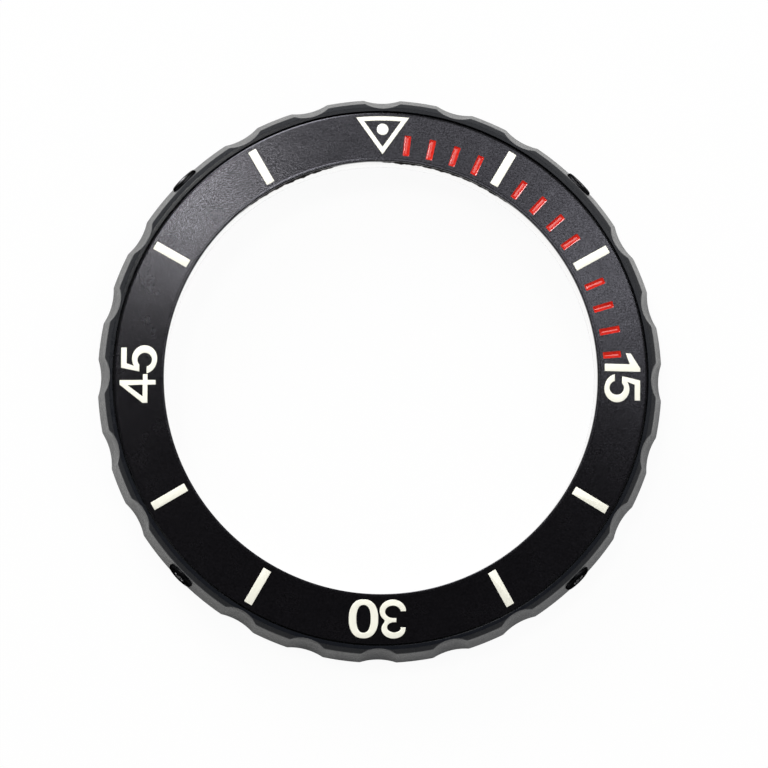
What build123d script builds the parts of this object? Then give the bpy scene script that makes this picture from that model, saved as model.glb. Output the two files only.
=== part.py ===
"""Rotating watch bezel: scalloped ring, sloped insert with inlaid marks, side screws and a click seat.

Origin: centre of the flat seat face at the bottom. +Z points up through the bore, +Y is the
60 minute mark and +X the 15 minute mark. All lengths are in millimetres, all angles in degrees.
"""
import os
from math import cos, radians, sin, tan

from build123d import *

os.makedirs("parts", exist_ok=True)

# Insert: a thin ring whose face falls away from its bore
insert_bore_diameter = 31.1
insert_width = 3.52
insert_top_height = 4.23
insert_thickness = 0.6
insert_slope = 11.5
insert_edge_break = 0.09
adhesive_thickness = 0.08
adhesive_margin = 0.25

# Bezel ring: recess, rim, flank, skirt and web
recess_clearance = 0.13
rim_rise = 0.02
rim_land_width = 0.26
rim_land_drop = 0.03
rim_bevel_width = 0.35
rim_bevel_drop = 0.5
flank_angle = 11.8
skirt_foot_height = 0.15
skirt_foot_break = 0.12
skirt_ledge_width = 1.0
skirt_lead_in = 0.2
web_thickness = 0.3
web_bore_set_back = 0.3

# Grip scallops, with a screw in place of one on each diagonal
station_count = 24
screw_count = 4
scallop_rim_depth = 0.315
scallop_foot_depth = 0.25
scallop_rim_radius = 3.0
scallop_foot_radius = 4.3

# Side screws, square to the flank and half way up it
screw_head_diameter = 2.12
screw_head_height = 0.5
screw_head_stand_out = 0.17
screw_head_break = 0.12
screw_head_clearance = 0.04
screw_shank_diameter = 1.0
screw_dog_diameter = 0.6
screw_dog_clearance = 0.07
screw_socket_across_flats = 0.7
screw_socket_depth = 0.3
screw_hole_clearance = 0.02

# Ratchet ring under the web, one tooth to the minute
tooth_count = 60
ratchet_thickness = 0.5
ratchet_fit = 0.02
tooth_depth = 0.3
tooth_face_width = 1.0
tooth_land_share = 0.12

# Seat ring that stays on the watch case
seat_bore_inset = 0.05
seat_fit = 0.06
seat_deck_gap = 0.2
seat_collar_wall = 0.9
seat_collar_gap = 0.1
seat_lip_wall = 0.3
seat_taper_width = 0.2
seat_taper_height = 0.33
seat_edge_break = 0.15
seat_groove_depth = 0.42

# Glide ring in the rebate of the collar, just under the web
glide_thickness = 0.3
glide_gap = 0.03
glide_side_clearance = 0.03
glide_lip_share = 2 / 3

# Click pins and their springs, evenly spaced in blind bores of the seat ring
click_count = 3
pin_diameter = 0.8
pin_clearance = 0.03
pin_length = 1.2
pin_tooth_clearance = 0.03
pocket_floor_height = 0.25
spring_diameter = 0.72
spring_wire_diameter = 0.12
spring_turns = 4
spring_seat_gap = 0.02

# Inlaid marks on the insert: white five minute bars, red minute marks, triangle and dot
minute_angle = 6.0
bar_minute_counts = [5, 10, 20, 25, 35, 40, 50, 55]
bar_inner_inset = 0.41
bar_outer_inset = 0.3
bar_width = 0.615
mark_minute_counts = [1, 2, 3, 4, 6, 7, 8, 9, 11, 12, 13, 14]
mark_inner_inset = 0.41
mark_length = 1.53
mark_width = 0.47
mark_corner = 0.07
short_mark_minute_count = 14
short_mark_length = 1.33
triangle_outer_inset = 0.26
triangle_tip_inset = 0.49
triangle_width = 3.82
triangle_stroke = 0.32
dot_centre_inset = 1.23
dot_diameter = 0.85
inlay_depth = 0.2
white_rise = 0.03
red_sink = 0.05

# Every cut and every trimming body runs past the work by this much
overrun = 1.0

# Turn from a clock direction to the tangent there
quarter_turn_angle = 90.0

# Radii and heights that follow from the sizes above
insert_bore_radius = insert_bore_diameter / 2
insert_outer_radius = insert_bore_radius + insert_width
recess_radius = insert_outer_radius + recess_clearance
web_bore_radius = insert_bore_radius + web_bore_set_back
skirt_bore_radius = recess_radius - skirt_ledge_width
seat_outer_radius = skirt_bore_radius - seat_fit
groove_radius = seat_outer_radius - seat_groove_depth
seat_bore_radius = insert_bore_radius - seat_bore_inset
collar_radius = seat_bore_radius + seat_collar_wall
slope_fall = tan(radians(insert_slope))
flank_run = tan(radians(flank_angle))


def face_height(radius):
    """Height of the insert's face at a radius."""
    return insert_top_height - (radius - insert_bore_radius) * slope_fall


def recess_height(radius):
    """Height of the recess floor that the adhesive and the insert lie on."""
    return face_height(radius) - insert_thickness - adhesive_thickness


rim_crest_height = face_height(insert_outer_radius) + rim_rise
rim_land_radius = recess_radius + rim_land_width
rim_land_height = rim_crest_height - rim_land_drop
rim_edge_radius = rim_land_radius + rim_bevel_width
rim_edge_height = rim_land_height - rim_bevel_drop
web_underside_height = recess_height(skirt_bore_radius) - web_thickness
screw_height = (skirt_foot_height + rim_edge_height) / 2


def flank_radius(height):
    """Radius of the flank at a height: it flares outwards from the rim's edge to the foot."""
    return rim_edge_radius + (rim_edge_height - height) * flank_run


def point_at(clock, radius, height):
    """Point at a clock angle, counted from +Y towards +X."""
    return Vector(radius * sin(radians(clock)), radius * cos(radians(clock)), height)


def flank_plane(clock, height):
    """Plane that touches the flank at a clock angle, with its normal pointing out of the ring."""
    outward = point_at(clock, cos(radians(flank_angle)), sin(radians(flank_angle)))
    tangent = point_at(clock + quarter_turn_angle, 1, 0)
    return Plane(origin=point_at(clock, flank_radius(height), height), x_dir=tangent, z_dir=outward)


def cone_layer(bottom, top):
    """Layer parallel to the insert's face, between two heights counted from that face."""
    inner = insert_bore_radius - overrun
    outer = insert_outer_radius + overrun
    with BuildPart() as layer:
        with BuildSketch(Plane.XZ):
            with BuildLine():
                Polyline(
                    (inner, face_height(inner) + bottom),
                    (outer, face_height(outer) + bottom),
                    (outer, face_height(outer) + top),
                    (inner, face_height(inner) + top),
                    close=True,
                )
            make_face()
        revolve(axis=Axis.Z)
    return layer.part


def save(piece, name):
    """Label a finished piece and write it as one STEP file."""
    piece.part.label = name
    export_step(piece.part, f"parts/{name}.step")


# Stations round the ring: screws on the diagonals, scallops everywhere else
station_angle = 360 / station_count
screw_step = 360 / screw_count
screw_clocks = [screw_step * (i + 1 / 2) for i in range(screw_count)]
scallop_clocks = [i * station_angle for i in range(station_count) if i * station_angle not in screw_clocks]


# Screw axes lean in towards the groove of the seat ring, square to the flank
def axis_depth(radius):
    """Distance along a screw's axis from the flank to a radius inside it."""
    return (flank_radius(screw_height) - radius) / cos(radians(flank_angle))


def axis_height(radius):
    """Height of a screw's axis at a radius."""
    return screw_height - (flank_radius(screw_height) - radius) * flank_run


axis_lean = sin(radians(flank_angle))
head_floor_depth = screw_head_height - screw_head_stand_out
shank_end_depth = axis_depth(skirt_bore_radius + screw_shank_diameter / 2 * axis_lean)
dog_end_depth = axis_depth(groove_radius + screw_dog_clearance + screw_dog_diameter / 2 * axis_lean)


# Scallops: one cutter, wider and shallower towards the foot, that runs from under the foot to
# over the rim
foot_top_height = skirt_foot_height + skirt_foot_break
foot_radius = flank_radius(foot_top_height)

with BuildPart() as scallop:
    for height in (0, insert_top_height):
        fade = (rim_edge_height - height) / (rim_edge_height - foot_top_height)
        depth = scallop_rim_depth + (scallop_foot_depth - scallop_rim_depth) * fade
        radius = scallop_rim_radius + (scallop_foot_radius - scallop_rim_radius) * fade
        with BuildSketch(Plane.XY.offset(height)):
            with Locations((0, flank_radius(height) - depth + radius)):
                Circle(radius)
    loft()


# Bezel ring: one turned section with its recess, rim, flank and skirt
with BuildPart() as bezel_ring:
    with BuildSketch(Plane.XZ):
        with BuildLine():
            Polyline(
                (web_bore_radius, web_underside_height),
                (skirt_bore_radius, web_underside_height),
                (skirt_bore_radius, skirt_foot_height + skirt_lead_in),
                (skirt_bore_radius + skirt_lead_in, skirt_foot_height),
                (foot_radius - skirt_foot_break, skirt_foot_height),
                (foot_radius, foot_top_height),
                (rim_edge_radius, rim_edge_height),
                (rim_land_radius, rim_land_height),
                (recess_radius, rim_crest_height),
                (recess_radius, recess_height(recess_radius)),
                (web_bore_radius, recess_height(web_bore_radius)),
                close=True,
            )
        make_face()
    revolve(axis=Axis.Z)
    with Locations(*[Location((0, 0, 0), (0, 0, -clock)) for clock in scallop_clocks]):
        add(scallop.part, mode=Mode.SUBTRACT)
    with Locations(*[flank_plane(clock, screw_height).location for clock in screw_clocks]):
        CounterBoreHole(
            radius=screw_shank_diameter / 2 + screw_hole_clearance,
            counter_bore_radius=screw_head_diameter / 2 + screw_head_clearance,
            counter_bore_depth=head_floor_depth,
            depth=dog_end_depth + overrun,
        )
save(bezel_ring, "bezel_ring")


# Side screws: round heads let into the flank, dog points that run in the seat ring's groove
for number, clock in enumerate(screw_clocks, start=1):
    seat = flank_plane(clock, screw_height)
    head_floor = seat.offset(-head_floor_depth)
    head_top = seat.offset(screw_head_stand_out)
    shank_end = seat.offset(-shank_end_depth)
    outward = Axis(seat.origin, seat.z_dir)
    with BuildPart() as side_screw:
        with BuildSketch(head_floor):
            Circle(screw_head_diameter / 2)
        extrude(amount=screw_head_height)
        fillet(side_screw.faces().sort_by(outward)[-1].edges(), screw_head_break)
        with BuildSketch(head_floor):
            Circle(screw_shank_diameter / 2)
        extrude(amount=head_floor_depth - shank_end_depth)
        with BuildSketch(shank_end):
            Circle(screw_dog_diameter / 2)
        extrude(amount=shank_end_depth - dog_end_depth)
        with BuildSketch(head_top):
            RegularPolygon(radius=screw_socket_across_flats / 2, side_count=6, major_radius=False)
        extrude(amount=-screw_socket_depth, mode=Mode.SUBTRACT)
    save(side_screw, f"side_screw_{number}")


# Ratchet ring: a toothed washer seated under the web inside the skirt
ratchet_top = web_underside_height
ratchet_bottom = ratchet_top - ratchet_thickness
ratchet_outer_radius = skirt_bore_radius - ratchet_fit
ratchet_bore_radius = collar_radius + seat_collar_gap
click_radius = (collar_radius + groove_radius) / 2
tooth_outer_radius = click_radius + tooth_face_width / 2
tooth_angle = 360 / tooth_count
gullet_angle = tooth_angle * (1 - tooth_land_share)
pin_radius = pin_diameter / 2
click_face_offset = pin_radius + pin_tooth_clearance


def gullet_width(radius):
    """Tangential width of the gap between two tooth lands at a radius."""
    return radius * radians(gullet_angle)


with BuildPart() as gullet:
    for radius in (ratchet_bore_radius - overrun, tooth_outer_radius):
        start = click_face_offset * radius / click_radius
        across = Plane(origin=(0, radius, ratchet_bottom), x_dir=(-1, 0, 0), z_dir=(0, 1, 0))
        with BuildSketch(across):
            with BuildLine():
                Polyline(
                    (start, 0),
                    (start, tooth_depth),
                    (start - gullet_width(radius), 0),
                    close=True,
                )
            make_face()
    loft()

with BuildPart() as ratchet_ring:
    with BuildSketch(Plane.XY.offset(ratchet_bottom)):
        Circle(ratchet_outer_radius)
        Circle(ratchet_bore_radius, mode=Mode.SUBTRACT)
    extrude(amount=ratchet_thickness)
    with PolarLocations(0, tooth_count):
        add(gullet.part, mode=Mode.SUBTRACT)
save(ratchet_ring, "ratchet_ring")


# Adhesive film between the recess floor and the insert
film_inner = web_bore_radius + adhesive_margin
film_outer = insert_outer_radius - adhesive_margin

with BuildPart() as insert_adhesive:
    with BuildSketch(Plane.XZ):
        with BuildLine():
            Polyline(
                (film_inner, recess_height(film_inner)),
                (film_outer, recess_height(film_outer)),
                (film_outer, recess_height(film_outer) + adhesive_thickness),
                (film_inner, recess_height(film_inner) + adhesive_thickness),
                close=True,
            )
        make_face()
    revolve(axis=Axis.Z)
save(insert_adhesive, "insert_adhesive")


# Outlines of the inlaid marks, seen from above
def radial_place(minute, radius):
    """Place of an upright outline at a minute mark, with its length along the radius."""
    clock = minute * minute_angle
    return Location(point_at(clock, radius, 0), (0, 0, -clock))


def mark_size(minute):
    """Length of a minute mark: the last one before the numeral is shorter."""
    return short_mark_length if minute == short_mark_minute_count else mark_length


def bar_outline(minute):
    """Plain oblong of a five minute bar."""
    inner = insert_bore_radius + bar_inner_inset
    outer = insert_outer_radius - bar_outer_inset
    with BuildSketch() as outline:
        with Locations(radial_place(minute, (inner + outer) / 2)):
            Rectangle(bar_width, outer - inner)
    return outline.sketch


def mark_outline(minute):
    """Oblong of a minute mark with slightly rounded corners."""
    length = mark_size(minute)
    inner = insert_bore_radius + mark_inner_inset
    with BuildSketch() as outline:
        with Locations(radial_place(minute, inner + length / 2)):
            RectangleRounded(mark_width, length, mark_corner)
    return outline.sketch


def triangle_outline():
    """Hollow triangle that points to the centre, with its outer side curved like the rim."""
    outer = insert_outer_radius - triangle_outer_inset
    tip = insert_bore_radius + triangle_tip_inset
    half = triangle_width / 2
    corner = (outer**2 - half**2) ** 0.5
    with BuildSketch() as outline:
        with BuildLine():
            ThreePointArc((-half, corner), (0, outer), (half, corner))
            Polyline((half, corner), (0, tip), (-half, corner))
        make_face()
        offset(amount=-triangle_stroke, kind=Kind.INTERSECTION, mode=Mode.SUBTRACT)
    return outline.sketch


def dot_outline():
    """Round dot inside the triangle."""
    with BuildSketch() as outline:
        with Locations((0, insert_outer_radius - dot_centre_inset)):
            Circle(dot_diameter / 2)
    return outline.sketch


white_outlines = {f"bar_{minute:02d}": bar_outline(minute) for minute in bar_minute_counts}
white_outlines["zero_triangle"] = triangle_outline()
white_outlines["zero_dot"] = dot_outline()
red_outlines = {f"minute_mark_{minute:02d}": mark_outline(minute) for minute in mark_minute_counts}


# Insert: sloped ring with a pocket for every inlaid mark
with BuildPart() as pockets:
    with BuildSketch():
        add(list(white_outlines.values()) + list(red_outlines.values()))
    extrude(amount=insert_top_height + overrun)
    add(cone_layer(-inlay_depth, overrun), mode=Mode.INTERSECT)

with BuildPart() as insert:
    with BuildSketch(Plane.XZ):
        with BuildLine():
            Polyline(
                (insert_bore_radius, face_height(insert_bore_radius) - insert_thickness),
                (insert_outer_radius, face_height(insert_outer_radius) - insert_thickness),
                (insert_outer_radius, face_height(insert_outer_radius) - insert_edge_break),
                (
                    insert_outer_radius - insert_edge_break,
                    face_height(insert_outer_radius - insert_edge_break),
                ),
                (
                    insert_bore_radius + insert_edge_break,
                    face_height(insert_bore_radius + insert_edge_break),
                ),
                (insert_bore_radius, face_height(insert_bore_radius) - insert_edge_break),
                close=True,
            )
        make_face()
    revolve(axis=Axis.Z)
    add(pockets.part, mode=Mode.SUBTRACT)
save(insert, "insert")


# White and red fills: the white stands a little proud, the red lies below the face
for outlines, top in ((white_outlines, white_rise), (red_outlines, -red_sink)):
    for name, outline in outlines.items():
        with BuildPart() as fill:
            with BuildSketch():
                add(outline)
            extrude(amount=insert_top_height + overrun)
            add(cone_layer(-inlay_depth, top), mode=Mode.INTERSECT)
        save(fill, name)


# Seat ring: bore tapered at the top, collar with a rebate, deck for the click pins and a groove for
# the screws' dog points
seat_deck_height = ratchet_bottom - seat_deck_gap
dog_half_height = screw_dog_diameter / 2 / cos(radians(flank_angle)) + screw_dog_clearance
seat_groove_bottom = axis_height(groove_radius) - dog_half_height
seat_groove_top = axis_height(seat_outer_radius) + dog_half_height
lip_radius = seat_bore_radius + seat_lip_wall
glide_top = web_underside_height - glide_gap
glide_bottom = glide_top - glide_thickness
seat_lip_height = glide_bottom + glide_thickness * glide_lip_share
pocket_radius = pin_radius + pin_clearance

with BuildPart() as seat_ring:
    with BuildSketch(Plane.XZ):
        with BuildLine():
            Polyline(
                (seat_bore_radius, 0),
                (seat_outer_radius - seat_edge_break, 0),
                (seat_outer_radius, seat_edge_break),
                (seat_outer_radius, seat_groove_bottom),
                (groove_radius, seat_groove_bottom),
                (groove_radius, seat_groove_top),
                (seat_outer_radius, seat_groove_top),
                (seat_outer_radius, seat_deck_height),
                (collar_radius, seat_deck_height),
                (collar_radius, glide_bottom),
                (lip_radius, glide_bottom),
                (lip_radius, seat_lip_height),
                (seat_bore_radius + seat_taper_width, seat_lip_height),
                (seat_bore_radius, seat_lip_height - seat_taper_height),
                close=True,
            )
        make_face()
    revolve(axis=Axis.Z)
    with BuildSketch(Plane.XY.offset(pocket_floor_height)):
        with PolarLocations(click_radius, click_count, start_angle=quarter_turn_angle):
            Circle(pocket_radius)
    extrude(amount=insert_top_height, mode=Mode.SUBTRACT)
save(seat_ring, "seat_ring")


# Glide ring: flat low-friction washer in the collar's rebate
with BuildPart() as glide_ring:
    with BuildSketch(Plane.XY.offset(glide_bottom)):
        Circle(collar_radius)
        Circle(lip_radius + glide_side_clearance, mode=Mode.SUBTRACT)
    extrude(amount=glide_thickness)
save(glide_ring, "glide_ring")


# Click pins: round pins whose tops are cut to the ramp of the ratchet teeth
click_clocks = [i * 360 / click_count for i in range(click_count)]
ramp_slope = tooth_depth / gullet_width(click_radius)
pin_top = ratchet_bottom + tooth_depth - pin_tooth_clearance
pin_foot = pin_top - pin_length

for number, clock in enumerate(click_clocks, start=1):
    steep_side = point_at(clock, click_radius, pin_top) - point_at(clock + quarter_turn_angle, pin_radius, 0)
    ramp_normal = point_at(clock + quarter_turn_angle, ramp_slope, 1)
    with BuildPart() as click_pin:
        with BuildSketch(Plane.XY.offset(pin_foot)):
            with Locations(point_at(clock, click_radius, 0)):
                Circle(pin_radius)
        extrude(amount=pin_length + overrun)
        split(bisect_by=Plane(origin=steep_side, z_dir=ramp_normal), keep=Keep.BOTTOM)
    save(click_pin, f"click_pin_{number}")


# Click springs: round-wire coils that stand on the pocket floors and push the pins up
wire_radius = spring_wire_diameter / 2
coil_radius = spring_diameter / 2 - wire_radius
coil_bottom = pocket_floor_height + spring_seat_gap + wire_radius
coil_top = pin_foot - spring_seat_gap - wire_radius
coil_height = coil_top - coil_bottom

for number, clock in enumerate(click_clocks, start=1):
    centre = point_at(clock, click_radius, coil_bottom)
    with BuildPart() as click_spring:
        with BuildLine(Plane(origin=centre)) as coil:
            Helix(pitch=coil_height / spring_turns, height=coil_height, radius=coil_radius)
        with BuildSketch(Plane(origin=coil.line @ 0, z_dir=coil.line % 0)):
            RegularPolygon(radius=wire_radius, side_count=8)
        sweep()
    save(click_spring, f"click_spring_{number}")
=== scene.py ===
from math import atan2, cos, degrees, hypot, pi, radians, sin, sqrt, tan

import bmesh
import bpy
from mathutils import Matrix, Vector


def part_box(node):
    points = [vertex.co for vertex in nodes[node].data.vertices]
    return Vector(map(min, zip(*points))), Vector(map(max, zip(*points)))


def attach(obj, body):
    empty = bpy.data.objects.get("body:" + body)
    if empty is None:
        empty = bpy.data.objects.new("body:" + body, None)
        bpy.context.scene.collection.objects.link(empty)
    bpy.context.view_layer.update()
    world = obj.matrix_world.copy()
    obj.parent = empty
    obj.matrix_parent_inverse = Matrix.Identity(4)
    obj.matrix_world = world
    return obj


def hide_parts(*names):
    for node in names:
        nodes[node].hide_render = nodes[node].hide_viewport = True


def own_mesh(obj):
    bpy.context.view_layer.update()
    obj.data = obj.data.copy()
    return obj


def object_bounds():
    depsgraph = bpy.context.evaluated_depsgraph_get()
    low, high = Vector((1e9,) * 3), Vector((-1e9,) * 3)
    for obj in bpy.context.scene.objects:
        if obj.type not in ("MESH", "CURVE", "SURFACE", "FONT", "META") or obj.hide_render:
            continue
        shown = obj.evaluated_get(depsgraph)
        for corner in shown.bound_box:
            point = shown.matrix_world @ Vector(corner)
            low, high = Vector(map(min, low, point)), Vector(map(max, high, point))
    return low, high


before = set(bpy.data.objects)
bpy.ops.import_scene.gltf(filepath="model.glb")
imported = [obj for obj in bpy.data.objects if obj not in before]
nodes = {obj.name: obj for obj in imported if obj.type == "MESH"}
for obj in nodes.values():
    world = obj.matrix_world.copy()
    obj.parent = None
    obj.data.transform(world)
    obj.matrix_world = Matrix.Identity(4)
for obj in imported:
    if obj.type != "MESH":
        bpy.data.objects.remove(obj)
cad_low, cad_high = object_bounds()
scene = bpy.context.scene
mm = 0.001


# Studio floor: a pale, plain surface that the seat ring stands on. The camera sees it near white,
# and so do reflections inside the ring. Reflections see it darker outside the ring, and it keeps
# the soft shadow that the ring throws.
floor_half_side = 1500 * mm
floor_paint = (0.8, 0.8, 0.8, 1)
floor_seen_share = 0.94
disc_radius = 17.0 * mm
disc_edge = 1.0 * mm
disc_mirrored_share = 1.0
near_mirrored_share = 0.05
dim_radius = 22.0 * mm
dim_edge = 5.0 * mm
far_mirrored_share = 0.45


def new_material(name):
    """A material with an empty node tree and its output."""
    material = bpy.data.materials.new(name)
    material.use_nodes = True
    tree = material.node_tree
    tree.nodes.clear()
    return material, tree, tree.nodes.new("ShaderNodeOutputMaterial")


def new_mesh(name, points, faces):
    """A mesh from its points and faces."""
    mesh = bpy.data.meshes.new(name)
    mesh.from_pydata(points, [], faces)
    return mesh


def new_object(name, data):
    """An object of that name and data, linked to the scene."""
    item = bpy.data.objects.new(name, data)
    scene.collection.objects.link(item)
    return item


def set_inputs(tree, pairs):
    """Links each socket to a term or another socket, or sets its value."""
    for place, value in pairs:
        if isinstance(value, Term):
            tree.links.new(value.socket, place)
        elif isinstance(value, bpy.types.NodeSocket):
            tree.links.new(value, place)
        else:
            place.default_value = value


class Term:
    """A number in a node tree; sums and products of it add Math nodes."""

    def __init__(self, socket):
        self.socket = socket

    def joined(self, operation, *others):
        tree = self.socket.id_data
        node = tree.nodes.new("ShaderNodeMath")
        node.operation = operation
        set_inputs(tree, zip(node.inputs, (self, *others)))
        return Term(node.outputs[0])

    def __add__(self, other):
        return self.joined("ADD", other)

    def __sub__(self, other):
        return self.joined("SUBTRACT", other)

    def __mul__(self, other):
        return self.joined("MULTIPLY", other)

    def __truediv__(self, other):
        return self.joined("DIVIDE", other)

    def power(self, other):
        return self.joined("POWER", other)

    def least(self, other, blend_width=None):
        if blend_width is None:
            return self.joined("MINIMUM", other)
        return self.joined("SMOOTH_MIN", other, blend_width)

    def most(self, other):
        return self.joined("MAXIMUM", other)

    def toward(self, other, share):
        return self + (other - self) * share


def apart(vector):
    """The three parts of a vector socket, as terms."""
    tree = vector.id_data
    parts = tree.nodes.new("ShaderNodeSeparateXYZ")
    tree.links.new(vector, parts.inputs[0])
    return [Term(part) for part in parts.outputs]


def from_axis(place):
    """How far a place stands from the upright axis through the origin."""
    x, y, _ = apart(place)
    return (x * x + y * y).power(0.5)


def mixed(share, first, second):
    """A shader that turns from the first to the second by a share."""
    tree = share.id_data
    blend = tree.nodes.new("ShaderNodeMixShader")
    set_inputs(tree, zip(blend.inputs, (share, first, second)))
    return blend.outputs[0]


floor_material, tree, output = new_material("pale_floor")
paint = tree.nodes.new("ShaderNodeBsdfDiffuse")
paint.inputs["Color"].default_value = floor_paint
white = tree.nodes.new("ShaderNodeEmission")
reach = from_axis(tree.nodes.new("ShaderNodeTexCoord").outputs["Object"])
rays = tree.nodes.new("ShaderNodeLightPath")
seen = Term(rays.outputs["Is Camera Ray"])
mirrored = Term(rays.outputs["Is Glossy Ray"])
# How far out: 0 at the disc's edge and 1 beyond it, then 0 to 1 again where the dim part starts
past_disc = ((reach - disc_radius) / disc_edge).most(0.0).least(1.0)
past_ring = ((reach - dim_radius) / dim_edge).most(0.0).least(1.0)
mirrored_share = past_disc * (near_mirrored_share - disc_mirrored_share) + disc_mirrored_share
mirrored_share = mirrored_share + past_ring * (far_mirrored_share - near_mirrored_share)
strength = past_ring * mirrored * -1 + 1
tree.links.new(strength.socket, white.inputs["Strength"])
white_share = seen * floor_seen_share + mirrored * mirrored_share
surface = mixed(white_share.socket, paint.outputs[0], white.outputs[0])
tree.links.new(surface, output.inputs["Surface"])

far = floor_half_side
corners = [(x, y, cad_low.z) for x, y in ((-far, -far), (far, -far), (far, far), (-far, far))]
floor_mesh = new_mesh("studio_floor", corners, [(0, 1, 2, 3)])
floor_mesh.materials.append(floor_material)
new_object("studio_floor", floor_mesh)


# Studio light: three soft lamps high above the upper half of the dial, the left one the
# strongest and a little warm, one lower behind the ring and a faint one at its upper right. The
# room has dim walls and a dark ceiling in reflections, and is white to the camera.
room_level = 0.5
room_seen_level = 1.0
wall_glossy_level = 0.2
ceiling_glossy_level = 0.02
wall_top = 0.35
ceiling_edge = 0.75
key_tint = (1.0, 0.99, 0.94)
lamps = {
    "key_lamp": ((-0.284, 0.346, 0.89), 0.2, 2.65),
    "side_lamp": ((0.393, 0.245, 0.89), 0.36, 1.12),
    "middle_lamp": ((0.11, 0.41, 0.9), 0.5, 1.15),
    "back_lamp": ((-0.31, 0.85, 0.42), 0.5, 6.3),
    "edge_lamp": ((0.64, 0.37, 0.67), 0.2, 1.0),
}


def added(tree, kind, inputs):
    """A new node with its inputs set or linked."""
    node = tree.nodes.new(kind)
    set_inputs(tree, [(node.inputs[label], value) for label, value in inputs.items()])
    return node


def spread(share, low=0.0, high=1.0, start=0.3, stop=0.7):
    """A share between two limits stretched to run from a low to a high value."""
    limits = {"From Min": start, "From Max": stop, "To Min": low, "To Max": high}
    stretch = added(share.id_data, "ShaderNodeMapRange", {"Value": share, **limits})
    return stretch.outputs["Result"]


scene.view_settings.view_transform = "Standard"
room = bpy.data.worlds.new("white_room")
scene.world = room
room.use_nodes = True
tree = room.node_tree
tree.nodes.clear()
rays = tree.nodes.new("ShaderNodeLightPath")
_, _, upward = apart(tree.nodes.new("ShaderNodeTexCoord").outputs["Generated"])
fade = spread(upward.socket, wall_glossy_level, ceiling_glossy_level, wall_top, ceiling_edge)
fade.node.interpolation_type = "SMOOTHSTEP"
plain, mirrored, seen = (
    added(tree, "ShaderNodeBackground", {"Strength": level}).outputs[0]
    for level in (room_level, fade, room_seen_level)
)
light = mixed(rays.outputs["Is Glossy Ray"], plain, mirrored)
light = mixed(rays.outputs["Is Camera Ray"], light, seen)
output = tree.nodes.new("ShaderNodeOutputWorld")
tree.links.new(light, output.inputs["Surface"])

for name, (place, side, power) in lamps.items():
    lamp = bpy.data.lights.new(name, "AREA")
    lamp.shape = "DISK"
    lamp.size = side
    lamp.energy = power
    holder = new_object(name, lamp)
    holder.location = place
    holder.rotation_mode = "QUATERNION"
    holder.rotation_quaternion = (-Vector(place)).to_track_quat("-Z", "Y")
bpy.data.lights["key_lamp"].color = key_tint


# Camera: almost straight above, tipped a little towards the lower left of the dial, far enough
# away for the mild perspective of a product shot. The dial is turned slightly in the frame.
camera_distance = 350 * mm
camera_tilt = radians(4.07)
camera_clock = radians(195.0)
dial_turn = radians(0.4)
frame_width = 55.0 * mm
aim_right = 0.231 * mm
aim_down = 0.466 * mm
aim_height = 3.5 * mm
sensor = 36.0

camera = new_object("camera", bpy.data.cameras.new("camera"))
camera.data.sensor_width = sensor
camera.data.lens = sensor * camera_distance / frame_width
camera.data.clip_start = camera_distance / 10
camera.data.clip_end = 10 * camera_distance
aside = Vector((sin(camera_clock), cos(camera_clock), 0))
toward_camera = aside * sin(camera_tilt) + Vector((0, 0, cos(camera_tilt)))
frame_up = Vector((-sin(dial_turn), cos(dial_turn), 0))
frame_right = frame_up.cross(toward_camera).normalized()
frame_up = toward_camera.cross(frame_right)
aim = Vector((0, 0, aim_height)) + frame_right * aim_right - frame_up * aim_down
camera.matrix_world = Matrix.Translation(aim + toward_camera * camera_distance) @ Matrix(
    (frame_right, frame_up, toward_camera)
).transposed().to_4x4()
scene.camera = camera


# Seat ring: the fixed ring under the bezel, turned from bright steel and pressed on the neck of
# the watch case. Its collar carries the glide ring, three blind bores hold the click pins, and
# the points of the side screws run in its groove.
seat_bore_radius = 15.5 * mm
seat_outer_radius = 18.14 * mm
seat_edge_break = 0.15 * mm
seat_bore_break = 0.02 * mm
seat_deck_height = 2.011 * mm
groove_radius = 17.72 * mm
groove_bottom = 0.702 * mm
groove_top = 1.542 * mm
collar_radius = 16.4 * mm
lip_radius = 15.8 * mm
taper_width = 0.2 * mm
taper_height = 0.33 * mm
click_count = 3
click_radius = 17.06 * mm
pin_bore_radius = 0.43 * mm
pin_bore_floor = 0.25 * mm
pin_bore_sides = 32
turned_steps = 480
edge_roll = 0.02 * mm
smooth_angle = radians(32)
weld_distance = 0.0005 * mm
bright_steel = (0.9, 0.89, 0.88)
steel_dark, steel_light = (0.9, 0.895, 0.89), (0.95, 0.945, 0.94)
steel_blotch = 0.9 * mm
tool_mark_pitch = 0.06 * mm
tool_mark_depth = 0.0003 * mm


def coat(name, colour, roughness, **constants):
    """A material with one main shader whose constants stand on the shader's own sockets."""
    material, tree, output = new_material(name)
    shader = tree.nodes.new("ShaderNodeBsdfPrincipled")
    shader.inputs["Base Color"].default_value = (*colour, 1)
    shader.inputs["Roughness"].default_value = roughness
    for label, value in constants.items():
        label = label.replace("_", " ").title().replace("Ior", "IOR")
        shader.inputs[label].default_value = value
    tree.links.new(shader.outputs[0], output.inputs["Surface"])
    return material, shader


def vector_of(tree, *values):
    """A vector socket from terms or numbers."""
    joined = tree.nodes.new("ShaderNodeCombineXYZ")
    set_inputs(tree, zip(joined.inputs, values))
    return joined.outputs[0]


def object_place(shader):
    """The object's own coordinates, in a shader's tree."""
    return shader.id_data.nodes.new("ShaderNodeTexCoord").outputs["Object"]


def grain(shader, pitch, detail=2.0, turned=False):
    """Noise on the object's own coordinates, or on radius and height for turned work."""
    tree, place = shader.id_data, object_place(shader)
    if turned:
        place = vector_of(tree, from_axis(place), apart(place)[2])
    inputs = {"Vector": place, "Scale": 1 / pitch, "Detail": detail}
    return added(tree, "ShaderNodeTexNoise", inputs).outputs["Fac"]


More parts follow.
